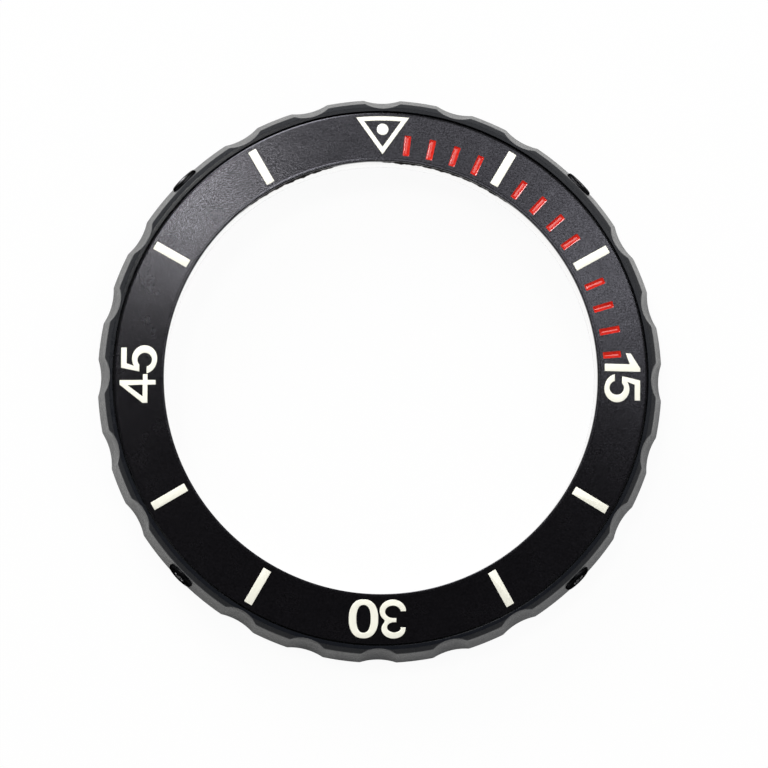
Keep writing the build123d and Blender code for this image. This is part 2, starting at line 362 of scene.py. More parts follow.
def vary(shader, label, share, *limits):
    """A share of noise, spread between limits, runs one of the shader's sockets."""
    shader.id_data.links.new(spread(share, *limits), shader.inputs[label])


def tint(shader, share, dark, light):
    """The shader's colour runs between two shades, by a share."""
    tree = shader.id_data
    mix = tree.nodes.new("ShaderNodeMix")
    mix.data_type = "RGBA"
    tree.links.new(share, mix.inputs["Factor"])
    mix.inputs["A"].default_value = (*dark, 1)
    mix.inputs["B"].default_value = (*light, 1)
    tree.links.new(mix.outputs["Result"], shader.inputs["Base Color"])


def roughen(shader, height, depth):
    """Bumps on a surface, to a depth in metres."""
    tree = shader.id_data
    bump = added(tree, "ShaderNodeBump", {"Height": height, "Distance": depth})
    tree.links.new(bump.outputs[0], shader.inputs["Normal"])


def rolled(section, size):
    """A closed section with each corner cut back by a size on both sides and eased between."""
    eased = []
    count = len(section)
    for index, corner in enumerate(section):
        here = Vector(corner)
        before = Vector(section[index - 1]) - here
        after = Vector(section[(index + 1) % count]) - here
        first = here + before.normalized() * min(size, before.length / 3)
        last = here + after.normalized() * min(size, after.length / 3)
        middle = (first + last + here + here) / 4
        eased += [tuple(first), tuple(middle), tuple(last)]
    return eased


def turned_mesh(name, section, steps, shape=lambda radius, clock, row: radius):
    """A mesh swept round +Z from a section of radii and heights, listed clockwise in the half
    plane of radius and height. A section that starts on the axis ends there too."""
    points, faces = [], []
    rows = len(section)
    for step in range(steps):
        clock = 2 * pi * step / steps
        for row, (radius, height) in enumerate(section):
            reach = shape(radius, clock, row)
            points.append((reach * sin(clock), reach * cos(clock), height))
    for step in range(steps):
        here, after = step * rows, (step + 1) % steps * rows
        for row in range(rows if section[0][0] else rows - 1):
            above = (row + 1) % rows
            faces.append((here + row, here + above, after + above, after + row))
    return new_mesh(name, points, faces)


def finished(mesh, material):
    """Joins doubles, turns all faces outwards and smooths all but the sharp edges."""
    work = bmesh.new()
    work.from_mesh(mesh)
    bmesh.ops.remove_doubles(work, verts=work.verts, dist=weld_distance)
    bmesh.ops.dissolve_degenerate(work, edges=work.edges, dist=weld_distance)
    bmesh.ops.recalc_face_normals(work, faces=work.faces)
    work.to_mesh(mesh)
    work.free()
    mesh.materials.clear()
    mesh.materials.append(material)
    mesh.polygons.foreach_set("material_index", [0] * len(mesh.polygons))
    mesh.shade_smooth()
    mesh.set_sharp_from_angle(angle=smooth_angle)
    return mesh


def placed(mesh, body, slot, *replaced):
    """The mesh as a piece that rides on a body, in place of the nodes it stands for; the slot is
    not used.
    """
    piece = new_object(mesh.name, mesh)
    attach(piece, body)
    if replaced:
        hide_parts(*replaced)
    return piece


def evaluated(holder, name):
    """An object's final mesh, under a name of its own; the object goes."""
    graph = bpy.context.evaluated_depsgraph_get()
    mesh = bpy.data.meshes.new_from_object(holder.evaluated_get(graph))
    bpy.data.objects.remove(holder)
    mesh.name = name
    return mesh


def carved(mesh, cutters):
    """The mesh less all the cutters, by an exact cut."""
    name, mesh.name = mesh.name, "uncut"
    holder = new_object("work", mesh)
    helpers = [new_object("cutter", cutter) for cutter in cutters]
    for helper in helpers:
        cut = holder.modifiers.new("cut", "BOOLEAN")
        cut.operation = "DIFFERENCE"
        cut.solver = "MANIFOLD"
        cut.object = helper
    result = evaluated(holder, name)
    for helper in helpers:
        bpy.data.objects.remove(helper)
    return result


def plug(name, radius, low, high, sides):
    """A round plug on the +Z axis between two heights, for cutting a hole."""
    return turned_mesh(name, [(0, low), (radius, low), (radius, high), (0, high)], sides)


def click_place(number):
    """Where a click pin's axis stands, from the first at twelve o'clock."""
    clock = 2 * pi * number / click_count
    return Vector((click_radius * sin(clock), click_radius * cos(clock), 0))


steel, shader = coat("turned_bright_steel", bright_steel, 0.22, metallic=1.0)
marks = grain(shader, tool_mark_pitch, 1.0, turned=True)
vary(shader, "Roughness", grain(shader, steel_blotch, 3.0), 0.08, 0.16)
tint(shader, spread(marks), steel_dark, steel_light)
roughen(shader, marks, tool_mark_depth)

web_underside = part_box("ratchet_ring")[1].z
glide_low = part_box("glide_ring")[0].z
seat_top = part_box("seat_ring")[1].z
seat_section = [
    (seat_bore_radius, seat_bore_break),
    (seat_bore_radius, seat_top - taper_height),
    (seat_bore_radius + taper_width, seat_top),
    (lip_radius, seat_top),
    (lip_radius, glide_low),
    (collar_radius, glide_low),
    (collar_radius, seat_deck_height),
    (seat_outer_radius, seat_deck_height),
    (seat_outer_radius, groove_top),
    (groove_radius, groove_top),
    (groove_radius, groove_bottom),
    (seat_outer_radius, groove_bottom),
    (seat_outer_radius, seat_edge_break),
    (seat_outer_radius - seat_edge_break, 0),
    (seat_bore_radius + seat_bore_break, 0),
]
seat_mesh = turned_mesh("seat_ring_turned", rolled(seat_section, edge_roll), turned_steps)
pin_bores = []
for number in range(click_count):
    pin_bore = plug("pin_bore", pin_bore_radius, pin_bore_floor, cad_high.z, pin_bore_sides)
    pin_bore.transform(Matrix.Translation(click_place(number)))
    pin_bores.append(finished(pin_bore, steel))
seat_mesh = finished(carved(finished(seat_mesh, steel), pin_bores), steel)
placed(seat_mesh, "case_seat", "bare_steel", "seat_ring")


# Click springs and click pins: coils of drawn wire stand in the blind bores and push up hard
# ground steel pins, whose slanted tops rest in the gullets of the ratchet ring.
spring_wire = (0.5, 0.51, 0.54)
spring_radius = 0.36 * mm
spring_wire_radius = 0.06 * mm
pin_steel = (0.66, 0.66, 0.68)
drawn_mark_pitch = 0.03 * mm
ground_mark_depth = 0.0005 * mm


def refinish(node, material):
    """A carried-over CAD node gets a material of its own."""
    mesh = nodes[node].data
    mesh.materials.clear()
    mesh.materials.append(material)


def shape_tree(name, sizes):
    """A tree of shape nodes with one named input for each size."""
    tree = bpy.data.node_groups.new(name, "GeometryNodeTree")
    for way in ("INPUT", "OUTPUT"):
        tree.interface.new_socket("Geometry", in_out=way, socket_type="NodeSocketGeometry")
    for label, value in sizes.items():
        kind = "NodeSocketInt" if isinstance(value, int) else "NodeSocketFloat"
        tree.interface.new_socket(label, in_out="INPUT", socket_type=kind)
    given = tree.nodes.new("NodeGroupInput")
    return tree, given.outputs[0], {label: Term(given.outputs[label]) for label in sizes}


def chained(tree, geometry, *steps):
    """Adds node after node to a line of geometry; each step is a node type and its inputs."""
    for kind, inputs in steps:
        node = added(tree, kind, inputs)
        if geometry is not None:
            ways_in = [place for place in node.inputs if place.type == "GEOMETRY"]
            tree.links.new(geometry, next(place for place in ways_in if not place.is_linked))
        geometry = next(place for place in node.outputs if place.type == "GEOMETRY")
    return geometry


def grown(name, base, tree, geometry, sizes, material):
    """Ends the tree, grows the base mesh by it and gives back a plain mesh."""
    end = tree.nodes.new("NodeGroupOutput")
    geometry = chained(
        tree,
        geometry,
        ("GeometryNodeRealizeInstances", {}),
        ("GeometryNodeSetMaterial", {"Material": material}),
    )
    tree.links.new(geometry, end.inputs[0])
    holder = new_object(name, base)
    growth = holder.modifiers.new("growth", "NODES")
    growth.node_group = tree
    for place in tree.interface.items_tree:
        if place.in_out == "INPUT" and place.name in sizes:
            growth[place.identifier] = sizes[place.name]
    return finished(evaluated(holder, name), material)


wire, shader = coat("drawn_spring_wire", spring_wire, 0.3, metallic=1.0)
vary(shader, "Roughness", grain(shader, drawn_mark_pitch), 0.22, 0.42)
ground, shader = coat("ground_hard_steel", pin_steel, 0.16, metallic=1.0)
marks = grain(shader, drawn_mark_pitch, 1.0)
vary(shader, "Roughness", marks, 0.1, 0.26)
roughen(shader, marks, ground_mark_depth)

spring_low, spring_high = (corner.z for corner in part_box("click_spring_1"))
spring_sizes = {
    "Turns": 4.0,
    "Coil Radius": spring_radius - spring_wire_radius,
    "Wire Radius": spring_wire_radius,
    "Height": spring_high - spring_low - 2 * spring_wire_radius,
    "Bends to a Turn": 28,
    "Sides of the Wire": 12,
}
tree, _, size = shape_tree("click_spring_shape", spring_sizes)
coil_inputs = {
    "Resolution": size["Bends to a Turn"],
    "Rotations": size["Turns"],
    "Start Radius": size["Coil Radius"],
    "End Radius": size["Coil Radius"],
    "Height": size["Height"],
}
coil = chained(tree, None, ("GeometryNodeCurveSpiral", coil_inputs))
circle_inputs = {"Resolution": size["Sides of the Wire"], "Radius": size["Wire Radius"]}
circle = chained(tree, None, ("GeometryNodeCurvePrimitiveCircle", circle_inputs))
tube_inputs = {"Profile Curve": circle, "Fill Caps": True}
tube = chained(tree, coil, ("GeometryNodeCurveToMesh", tube_inputs))
empty = bpy.data.meshes.new("empty_spring")
coil_mesh = grown("coiled_spring", empty, tree, tube, spring_sizes, wire)
for number in range(1, click_count + 1):
    spring_foot = click_place(number - 1) + Vector((0, 0, spring_low))
    spring_mesh = coil_mesh.copy()
    spring_mesh.name = f"coiled_spring_{number}"
    spring_mesh.transform(Matrix.Translation(spring_foot + Vector((0, 0, spring_wire_radius))))
    spring = placed(spring_mesh, "case_seat", "spring_steel", f"click_spring_{number}")
    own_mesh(spring)
    refinish(f"click_pin_{number}", ground)


# Glide ring: a flat washer of pale low-friction polymer in the collar's rebate, cut from sheet.
# The web of the bezel slides on it.
glide_colour = (0.8, 0.8, 0.76)
glide_dark, glide_light = (0.72, 0.72, 0.68), (0.86, 0.86, 0.83)
glide_mottle = 0.25 * mm
glide_depth = 0.002 * mm
polymer, shader = coat("glide_polymer_sheet", glide_colour, 0.55, specular_ior_level=0.4)
mottle = grain(shader, glide_mottle, 4.0)
tint(shader, mottle, glide_dark, glide_light)
roughen(shader, mottle, glide_depth)
refinish("glide_ring", polymer)


# Ratchet ring: a hardened washer under the web with sixty saw teeth, one to the minute, milled
# from below and pressed into the skirt.
ratchet_colour = (0.5, 0.5, 0.52)
ratchet_dark, ratchet_light = (0.4, 0.39, 0.38), (0.56, 0.56, 0.58)
ratchet_blotch = 1.2 * mm
mill_mark_pitch = 0.05 * mm
mill_mark_depth = 0.0008 * mm
hardened, shader = coat("milled_ratchet_steel", ratchet_colour, 0.3, metallic=1.0)
marks = grain(shader, mill_mark_pitch)
vary(shader, "Roughness", marks, 0.22, 0.42)
tint(shader, grain(shader, ratchet_blotch, 3.0), ratchet_dark, ratchet_light)
roughen(shader, marks, mill_mark_depth)
refinish("ratchet_ring", hardened)


# Bezel ring: turned from steel bar with a recess for the insert, a stepped rim, a flank that
# flares to the foot and a thin skirt. Twenty grip scallops and four round screw seats are milled
# in the flank, and all of it wears a hard black coating, glossy on the flank, satin on the rim.
recess_radius = 19.2 * mm
recess_floor_drop = 0.68 * mm
web_bore_radius = 15.85 * mm
insert_bore_radius = 15.55 * mm
insert_outer_radius = 19.07 * mm
insert_top_height = 4.23 * mm
insert_fall = tan(radians(11.5))
skirt_bore_radius = 18.2 * mm
skirt_lead_in = 0.2 * mm
foot_height = 0.15 * mm
foot_break = 0.12 * mm
foot_inset_shares = (1.4, 1, 0.3, 0)
rim_points = [(19.2, 3.534), (19.46, 3.504), (19.81, 3.004)]
rim_rows_per_facet = 7
flank_rows = 15
flank_lean = tan(radians(11.8))
station_count = 24
edge_passes = 3
screw_count = 4
screw_height = 1.577 * mm
screw_sides = 72
head_radius = 1.06 * mm
head_rise = 0.17 * mm
head_sink = 0.33 * mm
screw_seat_gap = 0.04 * mm
screw_seat_rise = 3 * head_rise
coat_colour = (0.0065, 0.0075, 0.0105)
coat_light = (0.0085, 0.0098, 0.0135)
coat_haze = 0.6 * mm
coat_grain = 0.08 * mm
coat_depth = 0.001 * mm
satin_height = 3.0 * mm
satin_edge = 0.04 * mm
satin_specular = 0.17
gloss_specular = 0.43


def face_height(radius, drop=0.0):
    """Height of the insert's face at a radius, less a drop."""
    return insert_top_height - (radius - insert_bore_radius) * insert_fall - drop


def mark_points(mesh, mark, values):
    """A named number for each point of a mesh."""
    mesh.attributes.new(mark, "FLOAT", "POINT").data.foreach_set("value", values)


# A low, wide haze and a fine grain keep the coating from looking like plastic
coated, shader = coat("hard_black_coating", coat_colour, 0.28)
haze = grain(shader, coat_haze, 4.0)
tint(shader, haze, coat_colour, coat_light)
vary(shader, "Roughness", haze, 0.24, 0.32)
_, _, height = apart(object_place(shader))
satin_limits = (satin_height - satin_edge, satin_height + satin_edge)
vary(shader, "Specular IOR Level", height.socket, gloss_specular, satin_specular, *satin_limits)
roughen(shader, grain(shader, coat_grain), coat_depth)

# One radial section of the ring; each point's marks say which rule moves it round the ring
rim = [(radius * mm, height * mm) for radius, height in rim_points]
rim_edge_radius, rim_edge_height = rim[-1]
still = rolled(
    [
        (recess_radius, rim[0][1]),
        (recess_radius, face_height(recess_radius, recess_floor_drop)),
        (web_bore_radius, face_height(web_bore_radius, recess_floor_drop)),
        (web_bore_radius, web_underside),
        (skirt_bore_radius, web_underside),
        (skirt_bore_radius, foot_height + skirt_lead_in),
        (skirt_bore_radius + skirt_lead_in, foot_height),
        (skirt_bore_radius + skirt_lead_in * 2, foot_height),
    ],
    edge_roll,
)[2:-3]
rows = [(radius, height, "still", 0) for radius, height in still]
for inset in (foot_break * share for share in foot_inset_shares):
    rows.append((0, foot_height + max(foot_break - inset, 0), "foot", inset))
for row in range(flank_rows + 1):
    rows.append((0, 0, "flank", row / flank_rows))
for (low, _), (high, _) in list(zip(rim, rim[1:]))[::-1]:
    for row in range(rim_rows_per_facet):
        rows.append((high + (low - high) * row / rim_rows_per_facet, 0, "top", 0))
rows.append((recess_radius + edge_roll, 0, "top", 0))

section = new_mesh("ring_section", [(radius, 0, height) for radius, height, _, _ in rows], [])
for mark in ("foot", "flank", "top"):
    mark_points(section, mark, [float(kind == mark) for _, _, kind, _ in rows])
mark_points(section, "share", [share for _, _, _, share in rows])

ring_sizes = {
    "Steps": 1872,
    "Rows": len(rows),
    "Stations": station_count,
    "Stations to a Screw": station_count // screw_count,
    "Rim Edge Radius": rim_edge_radius,
    "Rim Edge Height": rim_edge_height,
    "Foot Height": foot_height + foot_break,
    "Flank Lean": flank_lean,
    "Scallop Depth at Rim": 0.315 * mm,
    "Scallop Depth at Foot": 0.25 * mm,
    "Scallop Radius at Rim": 3.0 * mm,
    "Scallop Radius at Foot": 4.3 * mm,
    "Edge Chamfer": 0.03 * mm,
    "Rim Ease": 0.035 * mm,
    "Corner Ease": 0.03 * mm,
}
tree, given, size = shape_tree("scalloped_ring_shape", ring_sizes)
grid_inputs = {"Vertices X": size["Steps"], "Vertices Y": size["Rows"] + 1}
grid = chained(tree, None, ("GeometryNodeMeshGrid", grid_inputs))
index = Term(tree.nodes.new("GeometryNodeInputIndex").outputs[0])
column = (index / (size["Rows"] + 1)).joined("FLOOR")
row = (index - column * (size["Rows"] + 1)).joined("MODULO", size["Rows"])


def read_section(kind, source):
    """A value of the section's points for the grid point's row."""
    reader = tree.nodes.new("GeometryNodeSampleIndex")
    reader.data_type = kind
    tree.links.new(given, reader.inputs["Geometry"])
    tree.links.new(source, reader.inputs["Value"])
    tree.links.new(row.socket, reader.inputs["Index"])
    return reader.outputs["Value"]


def mark_value(mark):
    """A named mark of the section's points."""
    named = tree.nodes.new("GeometryNodeInputNamedAttribute")
    named.data_type = "FLOAT"
    named.inputs["Name"].default_value = mark
    return Term(read_section("FLOAT", named.outputs["Attribute"]))


place = tree.nodes.new("GeometryNodeInputPosition").outputs[0]
still_radius, _, still_height = apart(read_section("FLOAT_VECTOR", place))
is_foot, is_flank, is_top, share = (mark_value(mark) for mark in ("foot", "flank", "top", "share"))

# Angle round the ring, and from the middle of the nearest station; 1 where a screw stands there
clock = column * (2 * pi) / (size["Steps"] - 1)
station = (clock * size["Stations"] / (2 * pi)).joined("ROUND")
off = clock - station * (2 * pi) / size["Stations"]
screw_gap = size["Stations to a Screw"]
screw_here = (station.joined("MODULO", screw_gap) - screw_gap * 0.5).joined("COMPARE", 0.0, 0.1)


def wall_radius(height):
    """Radius of the outer wall: the flank, or the scallop where it cuts deeper. A scallop is
    round in each level plane, and wider and shallower towards the foot. It moves out of reach
    where a screw stands."""
    below = size["Rim Edge Height"] - height
    fade = below / (size["Rim Edge Height"] - size["Foot Height"])
    flank = size["Rim Edge Radius"] + below * size["Flank Lean"]
    depth = size["Scallop Depth at Rim"].toward(size["Scallop Depth at Foot"], fade)
    bend = size["Scallop Radius at Rim"].toward(size["Scallop Radius at Foot"], fade)
    centre = flank - depth + bend + screw_here
    across = centre * off.joined("SINE")
    inside = (bend * bend - across * across).most(0.0)
    cut = centre * off.joined("COSINE") - inside.power(0.5)
    return flank.least(cut, size["Corner Ease"])


def rim_height(radius):
    """Height of the rim's facets at a radius."""
    lowest = None
    for (r0, z0), (r1, z1) in zip(rim, rim[1:]):
        facet = (radius - r0) * ((z1 - z0) / (r1 - r0)) + z0
        lowest = facet if lowest is None else lowest.least(facet, size["Rim Ease"])
    return lowest


edge_radius = wall_radius(size["Rim Edge Height"])
for _ in range(edge_passes):
    edge_height = rim_height(edge_radius)
    edge_radius = wall_radius(edge_height)
top_radius = still_radius.least(edge_radius - size["Edge Chamfer"])
top_height = rim_height(top_radius)
flank_height = size["Foot Height"].toward(edge_height - size["Edge Chamfer"], share)
flank_reach = wall_radius(flank_height)
foot_reach = wall_radius(size["Foot Height"]) - share
radius = still_radius + (top_radius - still_radius) * is_top
radius = radius + (flank_reach - still_radius) * is_flank + (foot_reach - still_radius) * is_foot
height = still_height + (top_height - still_height) * is_top
height = height + (flank_height - still_height) * is_flank


def ring_place(tree, clock, reach, height):
    """A vector socket for a place at a clock angle, a reach and a height."""
    return vector_of(tree, reach * clock.joined("SINE"), reach * clock.joined("COSINE"), height)


geometry = chained(
    tree,
    grid,
    ("GeometryNodeSetPosition", {"Position": ring_place(tree, clock, radius, height)}),
    ("GeometryNodeMergeByDistance", {"Distance": weld_distance}),
)
ring_mesh = grown("bezel_ring_scalloped", section, tree, geometry, ring_sizes, coated)


def set_round(name, base, sizes, material, layout):
    """The base mesh at places round a ring. The layout gives, from the sizes and a place's
    number, its clock angle, reach, height and lean, and what else its copy is given."""
    tree, given, size = shape_tree(name + "_shape", sizes)
    spots = chained(tree, None, ("GeometryNodeMeshLine", {"Count": size["Count"]}))
    number = Term(tree.nodes.new("GeometryNodeInputIndex").outputs[0])
    clock, reach, height, lean, others = layout(tree, size, number)
    copies = {"Instance": given, "Rotation": vector_of(tree, lean, 0, clock * -1), **others}
    geometry = chained(
        tree,
        spots,
        ("GeometryNodeSetPosition", {"Position": ring_place(tree, clock, reach, height)}),
        ("GeometryNodeInstanceOnPoints", copies),
    )
    return grown(name, base, tree, geometry, sizes, material)


def screw_layout(tree, size, number):
    """Places for the screws or their seats, with their axes square to the flank."""
    clock = (number + 0.5) * (2 * pi) / size["Count"]
    return clock, size["Flank Radius"], size["Height"], size["Lean"] - pi / 2, {}


screw_sizes = {
    "Count": screw_count,
    "Flank Radius": rim_edge_radius + (rim_edge_height - screw_height) * flank_lean,
    "Height": screw_height,
    "Lean": atan2(flank_lean, 1),
}
screw_seat_radius = head_radius + screw_seat_gap
screw_seat = plug("screw_seat", screw_seat_radius, -head_sink, screw_seat_rise, screw_sides)
seats = set_round("screw_seats", screw_seat, screw_sizes, coated, screw_layout)
ring_mesh = finished(carved(ring_mesh, [seats]), coated)
placed(ring_mesh, "bezel", "coated_steel", "bezel_ring")


# Adhesive film: a thin double-sided film that holds the insert in its recess, hidden under it.
film_shade = (0.52, 0.48, 0.4)
film_dark, film_light = (0.46, 0.42, 0.35), (0.58, 0.54, 0.46)
film_mottle = 0.3 * mm
film, shader = coat("adhesive_film_coat", film_shade, 0.6)
tint(shader, grain(shader, film_mottle, 3.0), film_dark, film_light)
refinish("insert_adhesive", film)


# Painted shade: a black bead in the corner under the insert's inner edge, standing in for the
# shade there. It stays hidden but for two ragged stretches near twelve o'clock, where it reaches
# in.
opening_radius = 15.52 * mm
bead_steps = 720
bead_low, bead_high = 3.36 * mm, 3.58 * mm
bead_hidden = 0.04 * mm
bead_reach = 0.1 * mm
bead_top_drop, bead_back_drop, bead_foot_drop = 0.605 * mm, 0.615 * mm, 0.705 * mm
bead_heel = (0.05 * mm, 0.08 * mm)
bead_inner_rows = (0, 1)
bead_ripples = [(0.22, 97), (0.16, 231)]
shade_bead_black = (0.03, 0.027, 0.024)
shade_bead_dark, shade_bead_light = (0.02, 0.018, 0.016), (0.05, 0.045, 0.04)
bead_mottle = 0.2 * mm
# Degrees from twelve o'clock, and how many millimetres the bead of painted shade reaches in there
shade_band_reach = [
    (-44, 0), (-36, 0.07), (-22, 0.14), (-15, 0.09), (-10, 0), (-3, 0.01),
    (6, 0.14), (9, 0.08), (16, 0.105), (24, 0.07), (31, 0.09), (39, 0),
]


def bead_shape(radius, clock, row):
    """The bead's radius round the ring: its inner rows reach in where the painted shade shows."""
    turn = (degrees(clock) + 180) % 360 - 180
    reach = 0
    for (start, low), (stop, high) in zip(shade_band_reach, shade_band_reach[1:]):
        if start <= turn <= stop:
            reach = (low + (high - low) * (turn - start) / (stop - start)) * mm
    ragged = 1 + sum(depth * sin(clock * waves) for depth, waves in bead_ripples)
    return radius - reach * ragged if row in bead_inner_rows else radius


# Black of the painted shade bead, mottled a little
shade_bead_coat, shader = coat("painted_shade_black", shade_bead_black, 0.5)
tint(shader, grain(shader, bead_mottle), shade_bead_dark, shade_bead_light)
bead_section = [
    (opening_radius + bead_hidden, bead_low),
    (opening_radius + bead_hidden, bead_high),
    (opening_radius + 2 * bead_hidden, face_height(opening_radius, bead_top_drop)),
    (web_bore_radius + bead_reach, face_height(web_bore_radius, bead_back_drop)),
    (web_bore_radius + bead_reach, face_height(web_bore_radius, bead_foot_drop)),
    (web_bore_radius - bead_heel[0], bead_low + bead_heel[1]),
    (web_bore_radius - bead_reach, bead_low),
]
bead = turned_mesh("painted_shade_bead", bead_section, bead_steps, bead_shape)
placed(finished(bead, shade_bead_coat), "bezel", "adhesive_film")


# Insert: a thin aluminium ring, turned with a face that slopes down towards the rim, blasted
# and anodised matt black. The minute marks' slots are engraved in it before they are filled.
insert_steps = 720
insert_thickness = 0.6 * mm
insert_inner_break = (0.04 * mm, 0.03 * mm)
insert_outer_break = (0.11 * mm, 0.024 * mm)
insert_flat = (0.14 * mm, 0.0145 * mm)
insert_ridge = (0.045 * mm, 0.028 * mm)
bore_shine_share = 0.1
bore_shine_edge = 0.03 * mm
anodised_dark = (0.0021, 0.0019, 0.0023)
anodised_light = (0.0052, 0.0046, 0.0058)
anodised_shine = (0.29, 0.8)
anodised_sheen = (0.88, 0.875, 1.0, 1)
anodised_cloud = 2.2 * mm
blast_grain = 0.11 * mm
blast_depth = 0.0095 * mm
minute_angle = radians(6.0)
fill_start = insert_bore_radius + 0.41 * mm
mark_length = 1.53 * mm
mark_width = 0.47 * mm
mark_corner = 0.07 * mm
slot_depth = 0.12 * mm
slot_cut_rise = 0.09 * mm
corner_bends = 4

anodised, shader = coat("matt_black_anodised", anodised_dark, 0.28, specular_tint=anodised_sheen)
blast = grain(shader, blast_grain)
tint(shader, spread(blast), anodised_dark, anodised_light)
vary(shader, "Roughness", grain(shader, anodised_cloud, 3.0), 0.245, 0.28)
from_bore = (from_axis(object_place(shader)) - opening_radius) / bore_shine_edge
shine = from_bore.most(bore_shine_share).least(1.0) * Term(spread(blast, *anodised_shine))
set_inputs(shader.id_data, [(shader.inputs["Specular IOR Level"], shine)])
roughen(shader, blast, blast_depth)

face_start = opening_radius + insert_inner_break[0] + insert_flat[0] + insert_ridge[0]
face_end = insert_outer_radius - insert_outer_break[0]
ridge_height = face_height(face_start) + insert_ridge[1]
flat_height = ridge_height + insert_flat[1]
insert_section = [
    (opening_radius, face_height(opening_radius, insert_thickness)),
    (opening_radius, flat_height - insert_inner_break[1]),
    (opening_radius + insert_inner_break[0], flat_height),
    (face_start - insert_ridge[0], ridge_height),
    (face_start, face_height(face_start)),
    (face_end, face_height(face_end)),
    (insert_outer_radius, face_height(insert_outer_radius, insert_outer_break[1])),
    (insert_outer_radius, face_height(insert_outer_radius, insert_thickness)),
]
insert_mesh = turned_mesh("insert_sloped", rolled(insert_section, edge_roll / 2), insert_steps)


def oblong(width, length, corner):
    """Outline of an upright oblong with round corners, about its middle, anticlockwise."""
    outline = []
    for turn, (sx, sy) in enumerate(((1, 1), (-1, 1), (-1, -1), (1, -1))):
        for bend in range(corner_bends + 1):
            angle = (turn + bend / corner_bends) * pi / 2
            x = sx * (width / 2 - corner) + corner * cos(angle)
            y = sy * (length / 2 - corner) + corner * sin(angle)
            outline.append((x, y))
    return outline


def stacked(name, levels):
    """A closed mesh up through levels, each an outline and its height."""
    points, faces = [], []
    for outline, height in levels:
        points += [(x, y, height) for x, y in outline]
        side = len(outline)
    top = len(points) - side
    for low in range(0, top, side):
        for i in range(side):
            j = (i + 1) % side
            faces.append((low + i, low + j, low + side + j, low + side + i))
    faces += [tuple(range(side))[::-1], tuple(range(top, top + side))]
    return new_mesh(name, points, faces)


def minute_layout(tree, size, number):
    """Places for bars, marks or slots: one at each wanted minute, laid on the sloped face."""
    minute = number * size["Minutes Apart"]
    short = (minute - size["Short Minute"]).joined("COMPARE", 0.0, 0.5)
    length = size["Length"] + (size["Short Length"] - size["Length"]) * short
    middle = size["Inner Radius"] + length * 0.5
    height = (middle - insert_bore_radius) * -insert_fall + insert_top_height
    wanted = minute.joined("MODULO", size["Skip Every"]).joined("COMPARE", 0.0, 0.5) * -1 + 1
    others = {"Selection": wanted, "Scale": vector_of(tree, 1, length / size["Length"], 1)}
    return minute * minute_angle, middle, height, -atan2(insert_fall, 1), others


mark_sizes = {
    "Count": 15,
    "Minutes Apart": 1,
    "Skip Every": 5,
    "Inner Radius": fill_start,
    "Length": mark_length,
    "Short Minute": 14,
    "Short Length": 1.33 * mm,
}
slot_outline = oblong(mark_width, mark_length, mark_corner)
slot = stacked("slot", [(slot_outline, -slot_depth), (slot_outline, slot_cut_rise)])
slots = set_round("mark_slots", slot, mark_sizes, anodised, minute_layout)
insert_mesh = finished(carved(finished(insert_mesh, anodised), [slots]), anodised)
placed(insert_mesh, "bezel", "anodised_aluminium", "insert")


# Minute bars and minute marks: the bars are white paint that dries a little proud, the marks
# glossy red enamel that fills the insert's slots and dries hollow, just below the face.
bar_length = insert_outer_radius - 0.3 * mm - fill_start
bar_width = 0.615 * mm
bar_corner = 0.03 * mm
bar_inset = 0.9 * bar_corner
least_corner = 0.004 * mm
inlay_depth = 0.2 * mm
white_rise = 0.03 * mm
white_roll = 0.028 * mm
roll_share = 0.3
red_sink = 0.012 * mm
red_dish = 0.065 * mm
dish_shares = (0, 0.1, 0.2, 0.35, 0.5, 0.65, 0.8, 0.95)
white_shade = (0.97, 0.965, 0.86)
cream_shade = (0.95, 0.935, 0.81)
white_cloud = 0.5 * mm
white_grain = 0.12 * mm
white_depth = 0.0015 * mm
red_deep = (0.49, 0.0072, 0.0055)
red_bright = (0.67, 0.027, 0.012)
red_cloud = 0.22 * mm
red_wave = 0.42 * mm
red_depth = 0.014 * mm

white, shader = coat("white_paint_fill", white_shade, 0.38, specular_ior_level=0.4)
tint(shader, grain(shader, white_cloud, 3.0), white_shade, cream_shade)
roughen(shader, grain(shader, white_grain), white_depth)
enamel, shader = coat("red_enamel_fill", red_bright, 0.12, specular_ior_level=0.72)
tint(shader, spread(grain(shader, red_cloud, 3.0)), red_deep, red_bright)
roughen(shader, grain(shader, red_wave, 1.0), red_depth)


def fill_mesh(name, width, length, corner, levels):
    """A fill for one slot about its middle; its levels give insets and heights from the floor of
    the slot to the middle of the top."""
    shapes = []
    for inset, height in levels:
        bend = max(corner - inset, least_corner)
        shapes.append((oblong(width - 2 * inset, length - 2 * inset, bend), height))
    return stacked(name, shapes)


def nodes_of(start):
    """The CAD nodes whose names have that start."""
    return [name for name in nodes if name.startswith(start)]


bar_sizes = {
    **mark_sizes,
    "Count": 12,
    "Minutes Apart": 5,
    "Skip Every": 15,
    "Length": bar_length,
    "Short Minute": -1,
}
bar_levels = [
    (0, -inlay_depth),
    (0, white_rise - white_roll),
    (roll_share * bar_inset, white_rise - roll_share * white_roll),
    (bar_inset, white_rise),
]
bar = fill_mesh("bar", bar_width, bar_length, bar_corner, bar_levels)
bars = set_round("white_minute_bars", bar, bar_sizes, white, minute_layout)
placed(bars, "bezel", "white_paint", *nodes_of("bar_"))

mark_levels = [(0, -inlay_depth)]
for share in dish_shares:
    mark_levels.append((mark_width / 2 * share, -red_sink - red_dish * (1 - (1 - share) ** 2)))
mark = fill_mesh("mark", mark_width, mark_length, mark_corner, mark_levels)
marks = set_round("red_minute_marks", mark, mark_sizes, enamel, minute_layout)
placed(marks, "bezel", "red_enamel", *nodes_of("minute_mark_"))


